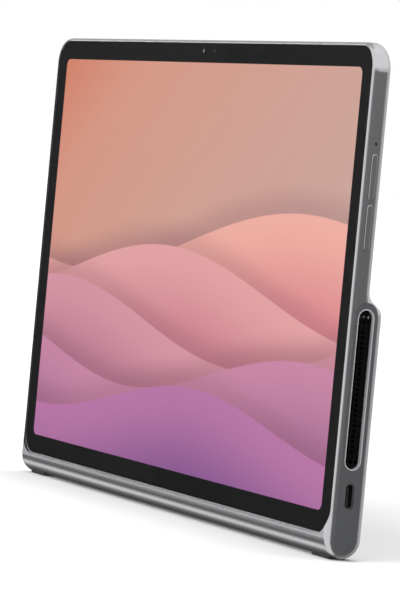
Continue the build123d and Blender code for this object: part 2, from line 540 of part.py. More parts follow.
CARRIER_LONG, CARRIER_THICK = 12.0, 1.0
with BuildPart() as card_socket:
    block(-CAVITY_X + 0.1, -111.5, INSIDE + 0.6, 1.1, TRAY_Z - 7.2, TRAY_Z + 7.2)
    block(-CAVITY_X, -112, -CARRIER_THICK / 2 - 0.12, CARRIER_THICK / 2 + 0.12,
          TRAY_Z - CARRIER_LONG / 2 - 0.15, TRAY_Z + CARRIER_LONG / 2 + 0.15, Mode.SUBTRACT)
    block(-CAVITY_X, -118, -CARRIER_THICK / 2 - 0.12, 1.2, TRAY_Z - 4, TRAY_Z + 4, Mode.SUBTRACT)
card_socket.part.label = "card_socket"
export_step(card_socket.part, "parts/card_socket.step")

with BuildPart() as card_tray:
    half = TRAY_LONG / 2
    side_slot(-1, PANEL_X + 0.05, HALF_W - 0.05, 0, TRAY_Z - half, TRAY_Z + half, TRAY_THICK)
    block(-PANEL_X - 0.05, -HALF_W + TRAY_REACH, -CARRIER_THICK / 2, CARRIER_THICK / 2,
          TRAY_Z - CARRIER_LONG / 2, TRAY_Z + CARRIER_LONG / 2)
    block(-PANEL_X + 1.5, -HALF_W + TRAY_REACH - 1.2, -0.3, CARRIER_THICK / 2, TRAY_Z - 5.5, TRAY_Z + 5.5,
          Mode.SUBTRACT)
    side_round(-1, HALF_W - 1.2, HALF_W, 0, TRAY_Z + 5.4, 0.4, Mode.SUBTRACT)
card_tray.part.label = "card_tray"
export_step(card_tray.part, "parts/card_tray.step")

# ---------------------------------------------------------------- keys and their switches
KEY_FLANGE = 0.55  # thickness of the flange that keeps a key from falling out
FLANGE_LONG, FLANGE_WIDE = 16.8, 3.0
DOME_DZ = 5.5  # the rocker's two switches lie this far above and below its middle


def key_flange(outer_x, z):
    """The flange of one key, behind the wall."""
    block(outer_x - KEY_FLANGE, outer_x, KEY_Y - FLANGE_WIDE / 2, KEY_Y + FLANGE_WIDE / 2,
          z - FLANGE_LONG / 2, z + FLANGE_LONG / 2)


with BuildPart() as power_key:
    side_slot(1, CAVITY_X - 0.05 - KEY_FLANGE, HALF_W + KEY_PROUD, KEY_Y, POWER_Z - KEY_LONG / 2,
              POWER_Z + KEY_LONG / 2, KEY_THICK)
    fillet(power_key.edges().group_by(Axis.X)[-1], 0.25)
    key_flange(CAVITY_X - 0.05, POWER_Z)
    side_round(1, CAVITY_X - 0.9, CAVITY_X - KEY_FLANGE, KEY_Y, POWER_Z, 0.7)
power_key.part.label = "power_button"
export_step(power_key.part, "parts/power_button.step")

ROCKER_FLANGE_X = CAVITY_X - 0.4
with BuildPart() as rocker:
    side_slot(1, ROCKER_FLANGE_X - KEY_FLANGE, HALF_W + KEY_PROUD, KEY_Y, VOLUME_Z - KEY_LONG / 2,
              VOLUME_Z + KEY_LONG / 2, KEY_THICK)
    fillet(rocker.edges().group_by(Axis.X)[-1], 0.25)
    key_flange(ROCKER_FLANGE_X, VOLUME_Z)
    for dz in (-DOME_DZ, DOME_DZ):
        side_round(1, ROCKER_FLANGE_X - KEY_FLANGE - 0.25, ROCKER_FLANGE_X - KEY_FLANGE, KEY_Y,
                   VOLUME_Z + dz, 0.7)
rocker.part.label = "volume_rocker"
export_step(rocker.part, "parts/volume_rocker.step")

with BuildPart() as switches:
    block(128.6, 129.4, KEY_Y - 1.25, KEY_Y + 1.25, VOLUME_Z - 9, POWER_Z + 8.5)
    rocker_top = CAVITY_X - 1.5
    for z, top in ((POWER_Z, rocker_top + 0.25), (VOLUME_Z - DOME_DZ, rocker_top),
                   (VOLUME_Z + DOME_DZ, rocker_top)):
        block(129.4, top - 0.2, KEY_Y - 1.1, KEY_Y + 1.1, z - 1.5, z + 1.5)
        side_round(1, top - 0.2, top, KEY_Y, z, 0.8)
switches.part.label = "key_switches"
export_step(switches.part, "parts/key_switches.step")

# ---------------------------------------------------------------- flex cables and antennas
FLEX_T = 0.15
with BuildPart() as usb_flex:
    y = INSIDE + 0.6
    block(74.3, 77.3, y, y + FLEX_T, 20, 93)
    block(74.3, 113, y, y + FLEX_T, 17, 20)
    block(113, 117, INSIDE + 1.6, INSIDE + 1.6 + FLEX_T, 15, 20.5)
    block(112.8, 113, y, INSIDE + 1.6 + FLEX_T, 17, 20)
    block(74.3, 77.3, y, BOARD_FRONT, 93, 96)
    block(74.3, 77.3, BOARD_FRONT - 0.6, BOARD_FRONT, 96, 99)
usb_flex.part.label = "usb_flex"
export_step(usb_flex.part, "parts/usb_flex.step")

with BuildPart() as card_flex:
    y = INSIDE + 0.6
    block(-77.3, -74.3, y, y + FLEX_T, 20, 93)
    block(-110.0, -74.3, y, y + FLEX_T, 17, 20)
    block(-111.3, -110.0, y, y + FLEX_T, 17, 20)
    block(-77.3, 22.0, y, y + FLEX_T, 90, 93)
    block(20.5, 23.5, y, BOARD_FRONT, 90, 93)
    block(20.5, 23.5, BOARD_FRONT - 0.6, BOARD_FRONT, 93, 99)
card_flex.part.label = "card_flex"
export_step(card_flex.part, "parts/card_flex.step")

with BuildPart() as display_flex:
    block(43, 67, LIGHT_BACK, BOARD_FRONT, 90.3, 90.3 + FLEX_T)
    block(43, 67, BOARD_FRONT - FLEX_T, BOARD_FRONT, 90.3, 101)
display_flex.part.label = "display_flex"
export_step(display_flex.part, "parts/display_flex.step")

with BuildPart() as antennas:
    for x0, x1 in ((-84, -44), (44, 84)):
        block(x0, x1, THIN_INNER - 0.35, THIN_INNER, 167.0, 171.6)
antennas.part.label = "antennas"
export_step(antennas.part, "parts/antennas.step")

# ---------------------------------------------------------------- kickstand
STAND_Y0, STAND_Y1 = AXIS_Y - KNUCKLE_R, AXIS_Y + KNUCKLE_R
SKIN, RIM = 1.4, 2.5  # thickness behind the hollow and around it
NOTCH_W = HINGE_W + 1.4
HOLLOW_Z = AXIS_Z + 4.1
STRIP_X, STRIP_Y = 52.0, 1.0
with BuildPart() as stand:
    with BuildSketch(Plane.XZ.offset(-STAND_Y1)):
        with BuildLine():
            FilletPolyline((-STAND_W / 2, AXIS_Z), (-STAND_W / 2, STAND_TOP), (STAND_W / 2, STAND_TOP),
                           (STAND_W / 2, AXIS_Z), radius=STAND_R)
            Line((STAND_W / 2, AXIS_Z), (-STAND_W / 2, AXIS_Z))
        make_face()
    extrude(amount=STAND_T)
    outer_rim = stand.edges().group_by(Axis.Y)[-1].filter_by(lambda e: e.center().Z > AXIS_Z + 0.01)
    fillet(outer_rim, 0.6)
    side_round(1, -STAND_W / 2, STAND_W / 2, AXIS_Y, AXIS_Z, KNUCKLE_R)
    # hollow inside, open towards the tablet
    slab(STAND_W - 2 * RIM, HOLLOW_Z, STAND_TOP - RIM - 0.1, STAND_R - RIM, STAND_Y0, STAND_Y1 - SKIN,
         mode=Mode.SUBTRACT)
    # notches for the fixed knuckles, and holes for the pins
    for side in (-1, 1):
        side_block(side, HINGE_X - NOTCH_W / 2, HINGE_X + NOTCH_W / 2, STAND_Y0, STAND_Y1, AXIS_Z - KNUCKLE_R,
                   HOLLOW_Z + 0.05, Mode.SUBTRACT)
        side_round(side, HINGE_X - 11, HINGE_X + 11, AXIS_Y, AXIS_Z, PIN_R, Mode.SUBTRACT)
    # groove for the rubber strip along the free edge
    block(-STRIP_X, STRIP_X, AXIS_Y - STRIP_Y, AXIS_Y + STRIP_Y, STAND_TOP - 1.3, STAND_TOP, Mode.SUBTRACT)
stand.part.label = "kickstand_plate"
export_step(stand.part, "parts/kickstand_plate.step")

with BuildPart() as stand_cover:
    slab(STAND_W - 2 * RIM - 0.3, AXIS_Z + 12.45, STAND_TOP - RIM - 0.3, STAND_R - RIM - 0.2,
         STAND_Y0 + 0.05, STAND_Y1 - SKIN - 0.05)
    for z in (30, 42, 54, 66):
        slab(110, z, z + 7, 2, STAND_Y0 + 0.05, STAND_Y0 + 0.55, mode=Mode.SUBTRACT)
stand_cover.part.label = "kickstand_inner_cover"
export_step(stand_cover.part, "parts/kickstand_inner_cover.step")

with BuildPart() as stand_strip:
    block(-STRIP_X + 0.1, STRIP_X - 0.1, AXIS_Y - STRIP_Y + 0.02, AXIS_Y + STRIP_Y - 0.02,
          STAND_TOP - 1.28, STAND_TOP + 0.25)
    fillet(stand_strip.edges().group_by(Axis.Z)[-1], 0.2)
stand_strip.part.label = "kickstand_rubber_strip"
export_step(stand_strip.part, "parts/kickstand_rubber_strip.step")

BRACKET_T = 0.8
for side, name in ((-1, "left"), (1, "right")):
    with BuildPart() as bracket:
        low, high = HINGE_X - HINGE_W / 2, HINGE_X + HINGE_W / 2
        side_block(side, low, high, RECESS_Y, RECESS_Y + BRACKET_T, AXIS_Z, AXIS_Z + 11.75)
        side_block(side, low, high, RECESS_Y, AXIS_Y, AXIS_Z - 0.85, AXIS_Z + 1.5)
        side_round(side, low, high, AXIS_Y, AXIS_Z, KNUCKLE_R - 0.05)
        side_round(side, low, high, AXIS_Y, AXIS_Z, PIN_R + 0.04, Mode.SUBTRACT)
        for x, z in HINGE_SCREWS:
            disc(x, z, SCREW_R + 0.06, RECESS_Y, RECESS_Y + BRACKET_T, Mode.SUBTRACT)
    bracket.part.label = f"hinge_bracket_{name}"
    export_step(bracket.part, f"parts/hinge_bracket_{name}.step")

with BuildPart() as pins:
    for side in (-1, 1):
        side_round(side, HINGE_X - 10.9, HINGE_X + 10.9, AXIS_Y, AXIS_Z, PIN_R - 0.005)
pins.part.label = "hinge_pins"
export_step(pins.part, "parts/hinge_pins.step")

with BuildPart() as washers:
    for side in (-1, 1):
        for inner in (HINGE_X - NOTCH_W / 2 + 0.1, HINGE_X + HINGE_W / 2 + 0.1):
            side_round(side, inner, inner + 0.5, AXIS_Y, AXIS_Z, KNUCKLE_R - 0.15)
            side_round(side, inner, inner + 0.5, AXIS_Y, AXIS_Z, PIN_R + 0.03, Mode.SUBTRACT)
washers.part.label = "hinge_washers"
export_step(washers.part, "parts/hinge_washers.step")

# ---------------------------------------------------------------- screws
with BuildPart() as screws:
    for x, z in FRAME_SCREWS:
        disc(x, z, HEAD_R, LEDGE_Y + 0.02, LEDGE_Y + HEAD_T)
        disc(x, z, SCREW_R, LEDGE_Y + HEAD_T, FLOOR_BACK + 1.8)
        disc(x, z, 0.45, LEDGE_Y, LEDGE_Y + 0.3, Mode.SUBTRACT)
    for x, z in BOARD_SCREWS:
        disc(x, z, HEAD_R, BOARD_FRONT - HEAD_T, BOARD_FRONT)
        disc(x, z, SCREW_R, BOARD_FRONT, THIN_INNER + 0.6)
    for x, z in SPEAKER_SCREWS:
        disc(x, z, HEAD_R, BOX_BACK - 0.6 - HEAD_T, BOX_BACK - 0.6)
        disc(x, z, SCREW_R, BOX_BACK - 0.6, THICK_INNER + 0.7)
    for x, z in HINGE_SCREWS:
        disc(x, z, HEAD_R, RECESS_Y + BRACKET_T, RECESS_Y + BRACKET_T + HEAD_T)
        disc(x, z, SCREW_R, RECESS_Y - 0.7, RECESS_Y + BRACKET_T)
screws.part.label = "screws"
export_step(screws.part, "parts/screws.step")
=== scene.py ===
import json
import math

import bmesh
import bpy
from mathutils import Matrix, Vector


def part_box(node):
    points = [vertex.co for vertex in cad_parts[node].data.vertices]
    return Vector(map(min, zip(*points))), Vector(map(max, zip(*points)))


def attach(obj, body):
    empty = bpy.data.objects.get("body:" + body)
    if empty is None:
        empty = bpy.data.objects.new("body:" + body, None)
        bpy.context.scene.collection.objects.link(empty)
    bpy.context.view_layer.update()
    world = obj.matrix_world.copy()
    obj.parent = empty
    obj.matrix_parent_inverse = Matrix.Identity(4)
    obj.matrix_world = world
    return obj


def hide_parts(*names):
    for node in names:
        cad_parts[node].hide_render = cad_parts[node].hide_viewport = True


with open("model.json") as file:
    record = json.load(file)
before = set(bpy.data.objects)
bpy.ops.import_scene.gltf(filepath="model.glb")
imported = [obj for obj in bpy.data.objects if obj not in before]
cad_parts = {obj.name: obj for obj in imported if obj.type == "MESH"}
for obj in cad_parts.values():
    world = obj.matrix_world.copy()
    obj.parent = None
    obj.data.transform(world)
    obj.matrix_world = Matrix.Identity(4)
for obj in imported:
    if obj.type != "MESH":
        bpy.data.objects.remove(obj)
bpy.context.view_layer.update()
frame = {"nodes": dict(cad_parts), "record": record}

# ---------------------------------------------------------------- places read from the frame
MM = 0.001
GLASS_LOW, GLASS_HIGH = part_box("cover_glass")
LCD_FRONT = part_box("lcd_panel")[0].y
SCREEN_W, SCREEN_H = 250.5 * MM, 150.3 * MM  # the lit area of the panel
SCREEN_Z = (GLASS_LOW.z + GLASS_HIGH.z) / 2


# ---------------------------------------------------------------- node helpers
class Nodes:
    """Short names for building one node tree."""

    def __init__(self, tree):
        self.tree = tree
        self.tree.nodes.clear()

    def add(self, kind, **settings):
        node = self.tree.nodes.new(kind)
        for name, value in settings.items():
            setattr(node, name, value)
        return node

    def feed(self, socket, value):
        """Link value to socket if it is an output, or set it as the socket's own value."""
        if isinstance(value, bpy.types.NodeSocket):
            self.tree.links.new(value, socket)
        elif isinstance(value, (tuple, list)) and len(value) == 3 and socket.type == "RGBA":
            socket.default_value = (*value, 1)
        else:
            socket.default_value = value

    def math(self, operation, *values):
        node = self.add("ShaderNodeMath", operation=operation)
        for socket, value in zip(node.inputs, values):
            self.feed(socket, value)
        return node.outputs[0]

    def step(self, value, low, high):
        """0 below low, 1 above high, smooth between them; low may be above high."""
        node = self.add("ShaderNodeMapRange", interpolation_type="SMOOTHSTEP")
        at_low, at_high = (1.0, 0.0) if low > high else (0.0, 1.0)
        for socket, number in zip(node.inputs, (value, min(low, high), max(low, high), at_low, at_high)):
            self.feed(socket, number)
        return node.outputs[0]

    def mix(self, share, first, second):
        node = self.add("ShaderNodeMix", data_type="RGBA")
        for socket, value in zip((node.inputs[0], node.inputs[6], node.inputs[7]), (share, first, second)):
            self.feed(socket, value)
        return node.outputs[2]

    def ramp(self, value, stops):
        """Colours at places from 0 to 1: stops is [(place, colour), ...]."""
        node = self.add("ShaderNodeValToRGB")
        self.feed(node.inputs[0], value)
        elements = node.color_ramp.elements
        while len(elements) < len(stops):
            elements.new(1)
        for element, (place, colour) in zip(elements, stops):
            element.position = place
            element.color = (*colour, 1)
        return node.outputs[0]

    def noise(self, vector, scale, detail=2.0, roughness=0.5):
        node = self.add("ShaderNodeTexNoise")
        self.feed(node.inputs["Vector"], vector)
        node.inputs["Scale"].default_value = scale
        node.inputs["Detail"].default_value = detail
        node.inputs["Roughness"].default_value = roughness
        return node.outputs["Fac"]

    def place(self):
        """The point on the object in metres, in the row frame."""
        return self.add("ShaderNodeTexCoord").outputs["Object"]

    def stretch(self, vector, scale):
        node = self.add("ShaderNodeMapping")
        self.feed(node.inputs["Vector"], vector)
        node.inputs["Scale"].default_value = scale
        return node.outputs[0]

    def axes(self, vector):
        node = self.add("ShaderNodeSeparateXYZ")
        self.feed(node.inputs[0], vector)
        return node.outputs[0], node.outputs[1], node.outputs[2]

    def bump(self, height, strength, distance):
        node = self.add("ShaderNodeBump")
        self.feed(node.inputs["Height"], height)
        node.inputs["Strength"].default_value = strength
        node.inputs["Distance"].default_value = distance
        return node.outputs[0]

    def surface(self, shader):
        output = self.add("ShaderNodeOutputMaterial")
        self.tree.links.new(shader, output.inputs["Surface"])

    def principled(self, **inputs):
        node = self.add("ShaderNodeBsdfPrincipled")
        for name, value in inputs.items():
            self.feed(node.inputs[name.replace("_", " ")], value)
        return node.outputs[0]


def srgb(red, green, blue):
    """A colour given as display values from 0 to 255, in the linear values that nodes use."""
    def linear(level):
        share = level / 255
        return share / 12.92 if level < 10 else ((share + 0.055) / 1.055) ** 2.4

    return linear(red), linear(green), linear(blue)


def new_material(name):
    material = bpy.data.materials.new(name)
    material.use_nodes = True
    return material, Nodes(material.node_tree)


# ---------------------------------------------------------------- materials
GRAIN_DEPTH = 0.02 * MM
TEXTURE_DEPTH = 0.03 * MM


def metal(name, colour, roughness, grain, along=(1, 1, 1), variation=0.04, metallic=1.0):
    """Anodised or brushed metal: fine grain in roughness and bump, with slow colour variation."""
    material, n = new_material(name)
    place = n.place()
    fine = n.noise(n.stretch(place, along), 9000, 2)
    slow = n.noise(place, 18, 3)
    shade = n.math("ADD", 1 - variation / 2, n.math("MULTIPLY", slow, variation))
    tint = n.mix(shade, (0, 0, 0), colour)
    rough = n.math("ADD", roughness - 0.03, n.math("MULTIPLY", fine, 0.06))
    n.surface(n.principled(Base_Color=tint, Metallic=metallic, Roughness=rough,
                           Normal=n.bump(fine, grain, GRAIN_DEPTH)))
    return material


def plastic(name, colour, roughness, texture=0.15, scale=5000, variation=0.1):
    """Moulded plastic or rubber with a fine spark-eroded texture."""
    material, n = new_material(name)
    place = n.place()
    fine = n.noise(place, scale, 3)
    slow = n.noise(place, 60, 3)
    lighter = tuple(min(1, c * 1.5 + 0.004) for c in colour)
    tint = n.mix(n.math("MULTIPLY", slow, variation * 2), colour, lighter)
    rough = n.math("ADD", roughness - 0.05, n.math("MULTIPLY", fine, 0.1))
    n.surface(n.principled(Base_Color=tint, Roughness=rough, Normal=n.bump(fine, texture, TEXTURE_DEPTH)))
    return material


def ink(name, colour):
    """Matte ink printed on the back of the glass, very slightly uneven."""
    material, n = new_material(name)
    shader = n.add("ShaderNodeBsdfDiffuse")
    n.feed(shader.inputs[0], n.mix(n.noise(n.place(), 35, 2), colour, tuple(c * 0.7 for c in colour)))
    n.surface(shader.outputs[0])
    return material


def pane(name, tint, ior):
    """Clear glass that shows what is behind it, with a mirror layer that grows at grazing angles."""
    material, n = new_material(name)
    clear = n.add("ShaderNodeBsdfTransparent")
    n.feed(clear.inputs[0], tint)
    mirror = n.add("ShaderNodeBsdfGlossy")
    smear = n.noise(n.place(), 40, 4)
    n.feed(mirror.inputs["Roughness"], n.math("MULTIPLY", smear, 0.03))
    fresnel = n.add("ShaderNodeFresnel")
    fresnel.inputs["IOR"].default_value = ior
    outside = n.math("SUBTRACT", 1, n.add("ShaderNodeNewGeometry").outputs["Backfacing"])
    join = n.add("ShaderNodeMixShader")
    n.feed(join.inputs[0], n.math("MULTIPLY", fresnel.outputs[0], outside))
    n.tree.links.new(clear.outputs[0], join.inputs[1])
    n.tree.links.new(mirror.outputs[0], join.inputs[2])
    n.surface(join.outputs[0])
    return material


# The picture on the screen. Heights and swings are shares of half the picture's height.
PICTURE_LIGHT = 1.09
PICTURE_SKY = [(0.0, srgb(209, 128, 102)), (0.16, srgb(212, 150, 132)), (0.45, srgb(206, 158, 145)),
               (0.7, srgb(199, 163, 152)), (0.95, srgb(201, 173, 165))]
WAVES = 5
WAVE_TOP, WAVE_FALL = 0.12, 0.82  # the height of the first wave, and how far below it the last one lies
WAVE_SWING, WAVE_CALM = 0.2, 0.08  # how far the first wave's crest swings, and how much less the last one's
WAVE_EDGE, WAVE_FADE = 0.008, 0.55  # how soft a crest is, and how far below it the deeper colour is reached
SHADOW_REACH, SHADOW_STRENGTH = 0.16, 0.3
WAVE_SHADOW = srgb(136, 84, 104)
WAVE_BACK, WAVE_BACK_DEEP = srgb(236, 172, 160), srgb(216, 136, 140)
WAVE_FRONT, WAVE_FRONT_DEEP = srgb(182, 116, 164), srgb(128, 84, 140)


def between(first, second, share):
    """The colour a given share of the way from the first to the second."""
    return tuple(a + (b - a) * share for a, b in zip(first, second))


def wave(n, across, up, under, share):
    """One smooth wave laid over the colours under it, with a soft shadow above its crest. Share runs from 0,
    the highest wave, at the back, to 1, the lowest, in front. Each wave is tighter and further along than the
    one behind it."""
    swing = n.math("SINE", n.math("ADD", n.math("MULTIPLY", across, 2.1 + 0.8 * share), 7.5 * share))
    swing = n.math("MULTIPLY", swing, WAVE_SWING - WAVE_CALM * share)
    depth = n.math("SUBTRACT", n.math("ADD", swing, WAVE_TOP - WAVE_FALL * share), up)
    shadow = n.math("MULTIPLY", n.step(depth, -SHADOW_REACH, 0.0), SHADOW_STRENGTH)
    under = n.mix(shadow, under, WAVE_SHADOW)
    light = between(WAVE_BACK, WAVE_FRONT, share)
    deep = between(WAVE_BACK_DEEP, WAVE_FRONT_DEEP, share)
    return n.mix(n.step(depth, 0.0, WAVE_EDGE), under, n.mix(n.step(depth, 0.0, WAVE_FADE), light, deep))


def picture():
    """The lit picture: a plain warm gradient with a few smooth waves across its lower half."""
    material, n = new_material("lit_picture")
    x, _, z = n.axes(n.place())
    across = n.math("DIVIDE", x, SCREEN_W / 2)
    up = n.math("DIVIDE", n.math("SUBTRACT", z, SCREEN_Z), SCREEN_H / 2)
    fade = n.math("ADD", n.math("MULTIPLY", across, 0.36), n.math("MULTIPLY", up, -0.3))
    colour = n.ramp(n.math("ADD", n.math("MULTIPLY", fade, 0.75), 0.5), PICTURE_SKY)
    for i in range(WAVES):
        colour = wave(n, across, up, colour, i / (WAVES - 1))
    light = n.add("ShaderNodeEmission")
    n.feed(light.inputs[0], colour)
    light.inputs[1].default_value = PICTURE_LIGHT
    n.surface(light.outputs[0])
    return material


def board_material():
    """Green solder mask with fine tracks."""
    material, n = new_material("solder_mask")
    place = n.place()
    tracks = n.step(n.noise(n.stretch(place, (1, 0.1, 0.25)), 900, 1), 0.5, 0.54)
    n.surface(n.principled(Base_Color=n.mix(tracks, srgb(16, 66, 44), srgb(28, 96, 62)), Roughness=0.4))
    return material


def film_material():
    """Amber flex film with copper traces along it."""
    material, n = new_material("flex_film")
    x, _, z = n.axes(n.place())
    trace = n.math("SINE", n.math("MULTIPLY", n.math("ADD", x, z), 9000))
    n.surface(n.principled(Base_Color=n.mix(n.step(trace, 0.2, 0.5), srgb(150, 92, 30), srgb(196, 130, 62)),
                           Roughness=0.35))
    return material


MATERIALS = {
    "body_metal": metal("anodised_grey", srgb(204, 204, 207), 0.22, 0.06),
    "stand_metal": metal("brushed_grey", srgb(160, 160, 164), 0.3, 0.25, along=(0.04, 1, 1)),
    "frame_metal": metal("cast_metal", srgb(190, 191, 193), 0.5, 0.5),
    "trim_metal": metal("polished_trim", srgb(235, 235, 238), 0.16, 0.05, metallic=0.5),
    "tray_metal": metal("dark_anodised", srgb(92, 93, 97), 0.34, 0.2),
    "steel": metal("steel", srgb(185, 185, 188), 0.34, 0.2, along=(0.1, 1, 1)),
    "foot_rubber": plastic("foot_rubber", srgb(40, 40, 42), 0.75, 0.4),
    "cover_glass": pane("cover_glass", (1, 1, 1), 1.32),
    "black_border": ink("printed_ink", srgb(22, 22, 23)),
    "lcd_glass": picture(),
    "lens_glass": pane("lens_glass", (0.55, 0.58, 0.62), 1.6),
    "flash_lens": plastic("flash_lens", srgb(238, 230, 196), 0.2, 0.3, 2500),
    "white_plastic": plastic("white_plastic", srgb(226, 226, 226), 0.5),
    "black_plastic": plastic("black_plastic", srgb(34, 34, 36), 0.5),
    "dark_panel": plastic("dark_panel", srgb(78, 79, 82), 0.42, 0.25),
    "dark_mesh": metal("black_mesh", srgb(30, 30, 32), 0.5, 0.2),
    "black_foam": plastic("black_foam", srgb(28, 28, 29), 0.9, 0.6, 2500),
    "cell_foil": metal("cell_wrap", srgb(70, 71, 76), 0.5, 0.5),
    "circuit_board": board_material(),
    "flex_film": film_material(),
}
# A node that has a finish of its own in place of its slot's
OWN_FINISH = {"rear_camera_bezel": metal("camera_bezel", srgb(176, 176, 180), 0.3, 0.1)}
SLOT_OF = {row["node"]: row["material_slot"] for row in frame["record"]["subparts"]}


def dress_cad_nodes():
    """Every CAD node gets its own finish or its record slot's, and flat faces that shade flat."""
    for name, node in frame["nodes"].items():
        node.data.materials.clear()
        node.data.materials.append(OWN_FINISH.get(name) or MATERIALS[SLOT_OF[name]])
        weighted = node.modifiers.new("flat_faces", "WEIGHTED_NORMAL")
        weighted.weight = 100
    frame["nodes"]["lcd_panel"].visible_diffuse = False  # the picture doesn't tint the floor


# ---------------------------------------------------------------- shapes for the visual pieces
def ring_points(x, z, radius, count=48):
    """Points round a circle, as (x, z)."""
    turns = [2 * math.pi * i / count for i in range(count)]
    return [(x + radius * math.cos(t), z + radius * math.sin(t)) for t in turns]


def rounded_box(x0, x1, z0, z1, radius, steps=16):
    """Points round a rectangle with round corners, as (x, z)."""
    points = []
    for x, z, start in ((x1, z1, 0), (x0, z1, 90), (x0, z0, 180), (x1, z0, 270)):
        cx, cz = x + math.copysign(radius, -x), z + (radius if start >= 180 else -radius)
        for i in range(steps + 1):
            turn = math.radians(start + 90 * i / steps)
            points.append((cx + radius * math.cos(turn), cz + radius * math.sin(turn)))
    return points


def plate(name, outlines, y0, y1, body, slot):
    """A flat plate facing the front, from depth y0 to y1. Outlines inside the first one are holes."""
    curve = bpy.data.curves.new(name, "CURVE")
    curve.dimensions = "2D"
    curve.fill_mode = "BOTH"
    curve.extrude = (y1 - y0) / 2
    for outline in outlines:
        spline = curve.splines.new("POLY")
        spline.points.add(len(outline) - 1)
        spline.use_cyclic_u = True
        for point, (x, z) in zip(spline.points, outline):
            point.co = (x, z, 0, 1)
    source = bpy.data.objects.new(name + "_outline", curve)
    mesh = bpy.data.meshes.new_from_object(source)
    bpy.data.objects.remove(source)
    upright = Matrix.Rotation(math.radians(90), 4, "X")
    mesh.transform(Matrix.Translation((0, (y0 + y1) / 2, 0)) @ upright)
    mesh.name = name
    return add_piece(name, mesh, body, slot)


def add_piece(name, mesh, body, slot):
    """Puts a finished mesh in the scene as a piece that rides on a body and wears a slot's material."""
    piece = bpy.data.objects.new(name, mesh)
    bpy.context.scene.collection.objects.link(piece)
    mesh.materials.clear()
    mesh.materials.append(MATERIALS[slot])
    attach(piece, body)
    return piece


# ---------------------------------------------------------------- visual pieces
CAMERA_EYE = (0.0, SCREEN_Z + 79.53 * MM)
SENSOR_EYE = (9.0 * MM, CAMERA_EYE[1])
CAMERA_EYE_R, SENSOR_EYE_R = 1.1 * MM, 0.55 * MM
BORDER_INSET, BORDER_CORNER = 0.3 * MM, 8.3 * MM
PICTURE_CORNER = 2.6 * MM


def printed_border():
    """The black border on the back of the glass, with a clear window for the picture and two small eyes."""
    outer = rounded_box(GLASS_LOW.x + BORDER_INSET, GLASS_HIGH.x - BORDER_INSET,
                        GLASS_LOW.z + BORDER_INSET, GLASS_HIGH.z - BORDER_INSET, BORDER_CORNER)
    opening = rounded_box(-SCREEN_W / 2, SCREEN_W / 2, SCREEN_Z - SCREEN_H / 2, SCREEN_Z + SCREEN_H / 2,
                          PICTURE_CORNER)
    eyes = [ring_points(*CAMERA_EYE, CAMERA_EYE_R), ring_points(*SENSOR_EYE, SENSOR_EYE_R)]
    front, back = GLASS_HIGH.y + 0.01 * MM, LCD_FRONT - 0.02 * MM
    piece = plate("printed_border", [outer, opening, *eyes], front, back, "tablet", "black_border")
    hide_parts("border_mask")


def lathe(name, x, z, profile, body, slot, segments=64):
    """A turned piece about an axis along Y through (x, z). The profile is [(radius, y), ...]. An open one
    starts and ends on the axis, and a closed one is a ring."""
    shape = bmesh.new()
    rings = []
    for radius, y in profile:
        if radius == 0:
            rings.append([shape.verts.new((x, y, z))])
            continue
        rings.append([shape.verts.new((px, y, pz)) for px, pz in ring_points(x, z, radius, segments)])
    for near, far in zip(rings, rings[1:]):
        for i in range(segments):
            corners = [near[i % len(near)], near[(i + 1) % len(near)]]
            corners += [far[(i + 1) % len(far)], far[i % len(far)]]
            corners = list(dict.fromkeys(corners))  # at a point on the axis two corners are the same
            if len(corners) > 2:
                shape.faces.new(corners)
    bmesh.ops.recalc_face_normals(shape, faces=shape.faces)
    mesh = bpy.data.meshes.new(name)
    shape.to_mesh(mesh)
    shape.free()
    mesh.shade_smooth()
    piece = add_piece(name, mesh, body, slot)
    weighted = piece.modifiers.new("flat_faces", "WEIGHTED_NORMAL")
    weighted.weight = 100
    mesh.set_sharp_from_angle(angle=math.radians(30))
    weighted.keep_sharp = True
    return piece


def dome(radius, y_flat, y_top, steps=8):
    """The profile of a shallow dome standing on a flat disc."""
    turns = [math.pi / 2 * i / steps for i in range(steps + 1)]
    curve = [(radius * math.cos(t), y_flat + (y_top - y_flat) * math.sin(t)) for t in turns[:-1]]
    return [(0, y_flat), *curve, (0, y_top)]


def lens_painted_sheen(name, colour):
    """Dark lens glass under a clear mirror coat, with the coating's coloured reflection painted into its
    colour as a sheen that grows towards grazing angles.
    """
    material, n = new_material(name)
    film = n.add("ShaderNodeLayerWeight")
    film.inputs["Blend"].default_value = 0.45
    # painted reflection: the coating's colour is painted into the base colour, strong where the surface turns
    # away from the eye and dark where it faces it
    tint = n.mix(n.math("MULTIPLY", film.outputs["Facing"], 1.2), srgb(8, 9, 12), colour)
    tint = n.mix(n.math("MULTIPLY", n.noise(n.place(), 900, 2), 0.2), tint, srgb(4, 4, 6))
    n.surface(n.principled(Base_Color=tint, Roughness=0.06, Coat_Weight=1.0, Coat_Roughness=0.03))
    return material


def lens_eye(name, x, z, radius, y_flat, y_top, colour):
    """A small coated lens."""
    eye = lathe(name, x, z, dome(radius, y_flat, y_top), "tablet", "lens_glass")
    eye.data.materials[0] = lens_painted_sheen(name + "_coating", colour)


def front_lens():
    """The coated lens in the front camera's eye."""
    # the teal given here is the colour of the painted sheen on the lens
    lens_eye("front_lens_eye", *CAMERA_EYE, 0.62 * MM, LCD_FRONT - 0.03 * MM, LCD_FRONT - 0.09 * MM,
             srgb(22, 84, 92))


